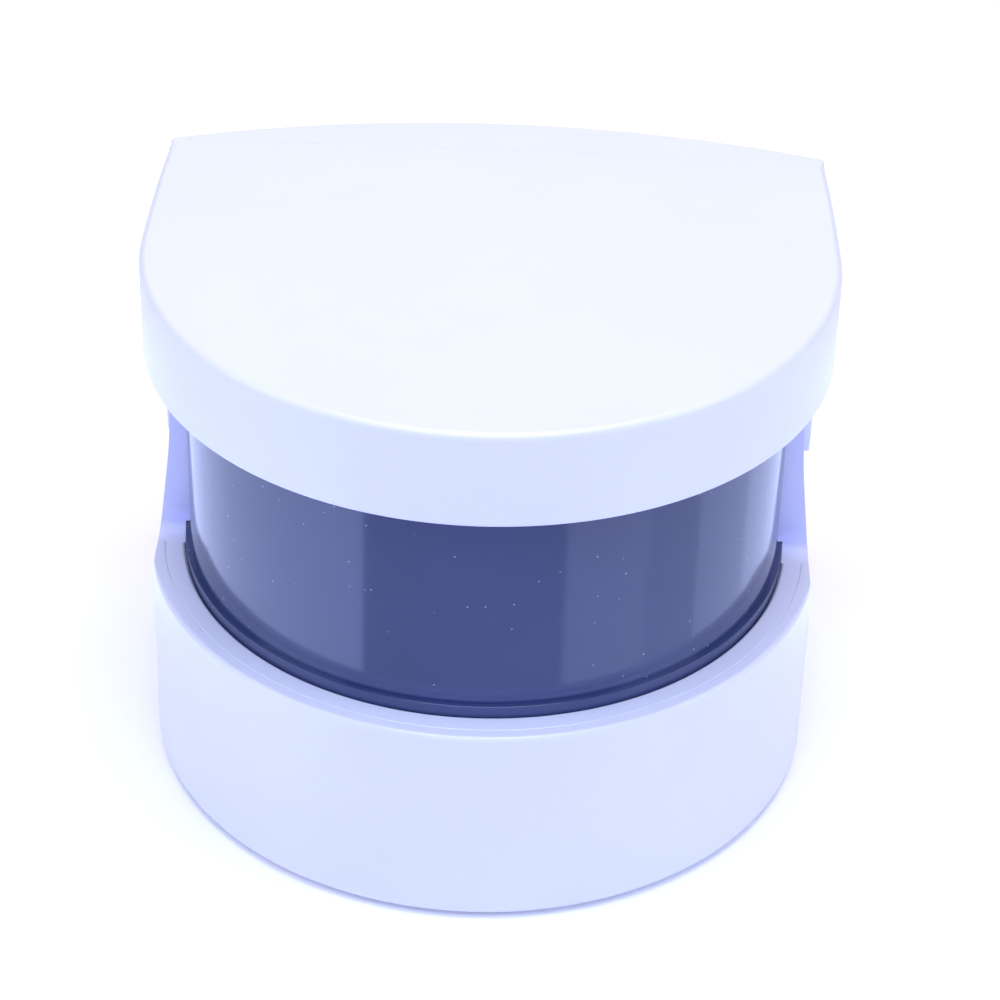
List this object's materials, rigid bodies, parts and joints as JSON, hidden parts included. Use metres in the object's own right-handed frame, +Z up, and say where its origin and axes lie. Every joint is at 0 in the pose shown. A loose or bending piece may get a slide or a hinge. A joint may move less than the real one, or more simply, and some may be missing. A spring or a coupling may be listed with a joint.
{
  "type": "ultrasonic jewellery cleaner",
  "caption": "Small battery-powered ultrasonic cleaner with a round front, a steel wash tank, a lift-out basket and a lid hinged at the back.",
  "frame": {"origin": "on the table, under the middle of the case", "axes": "+X to the right seen from the front, +Y towards the hinge, +Z up"},
  "size_m": [0.106, 0.0948, 0.0877],
  "materials": {
    "white_shell": "glossy moulded plastic",
    "white_inner": "satin moulded plastic",
    "dark_gloss": "polished dark blue moulding",
    "tank_steel": "drawn and brushed",
    "basket_plastic": "moulded",
    "soft_rubber": "soft, matt",
    "cast_alloy": "turned",
    "ceramic": "silvered ceramic",
    "screw_steel": "zinc plated",
    "cell_case": "printed jacket, bare",
    "contact_metal": "nickel plated strip",
    "board_laminate": "green laminate",
    "coil_wire": "wound enamelled wire",
    "capacitor_can": "sleeved can",
    "black_package": "moulded package",
    "socket_plastic": "moulded",
    "button_plastic": "satin moulded plastic",
    "lead_jacket": "flexible jacket"
  },
  "bodies": {
    "case": {"base_shell": "white_shell", "deck_ring": "white_shell", "tank_housing": "dark_gloss", "wash_tank": "tank_steel", "tank_gasket": "soft_rubber", "transducer_plate": "cast_alloy", "transducer_disc": "ceramic", "hinge_pins": "screw_steel", "bottom_cover": "white_inner", "battery_cells": "cell_case", "battery_contacts": "contact_metal", "case_screws": "screw_steel", "tank_screws": "screw_steel", "board_screws": "screw_steel", "rubber_feet": "soft_rubber", "circuit_board": "board_laminate", "board_coil": "coil_wire", "board_capacitors": "capacitor_can", "power_transistor": "black_package", "control_chip": "black_package", "lead_sockets": "socket_plastic", "switch_body": "black_package", "transducer_lead": "lead_jacket", "battery_lead": "lead_jacket"},
    "lid": {"lid_shell": "white_shell", "lid_liner": "white_inner", "lid_bumpers": "soft_rubber", "liner_screws": "screw_steel"},
    "button": {"power_button": "button_plastic", "switch_plunger": "socket_plastic"},
    "door": {"battery_door": "white_inner"},
    "basket": {"basket": "basket_plastic"}
  },
  "joints": [
    {"name": "lid_hinge", "type": "hinge", "parent": "case", "child": "lid", "pos_m": [0, 0.03205, 0.049], "axis": [-1, 0, 0], "range_deg": [0, 95]},
    {"name": "button_press", "type": "slide", "parent": "case", "child": "button", "axis": [0, -1, 0], "range_m": [0, 0.0015], "stiffness_N_per_m": 800, "springref_m": -0.001},
    {"name": "battery_door_swing", "type": "hinge", "parent": "case", "child": "door", "pos_m": [0, -0.0264, 0.0018], "axis": [-1, 0, 0], "range_deg": [0, 80]},
    {"name": "basket_lift", "type": "slide", "parent": "case", "child": "basket", "axis": [0, 0, 1], "range_m": [0, 0.004]}
  ]
}
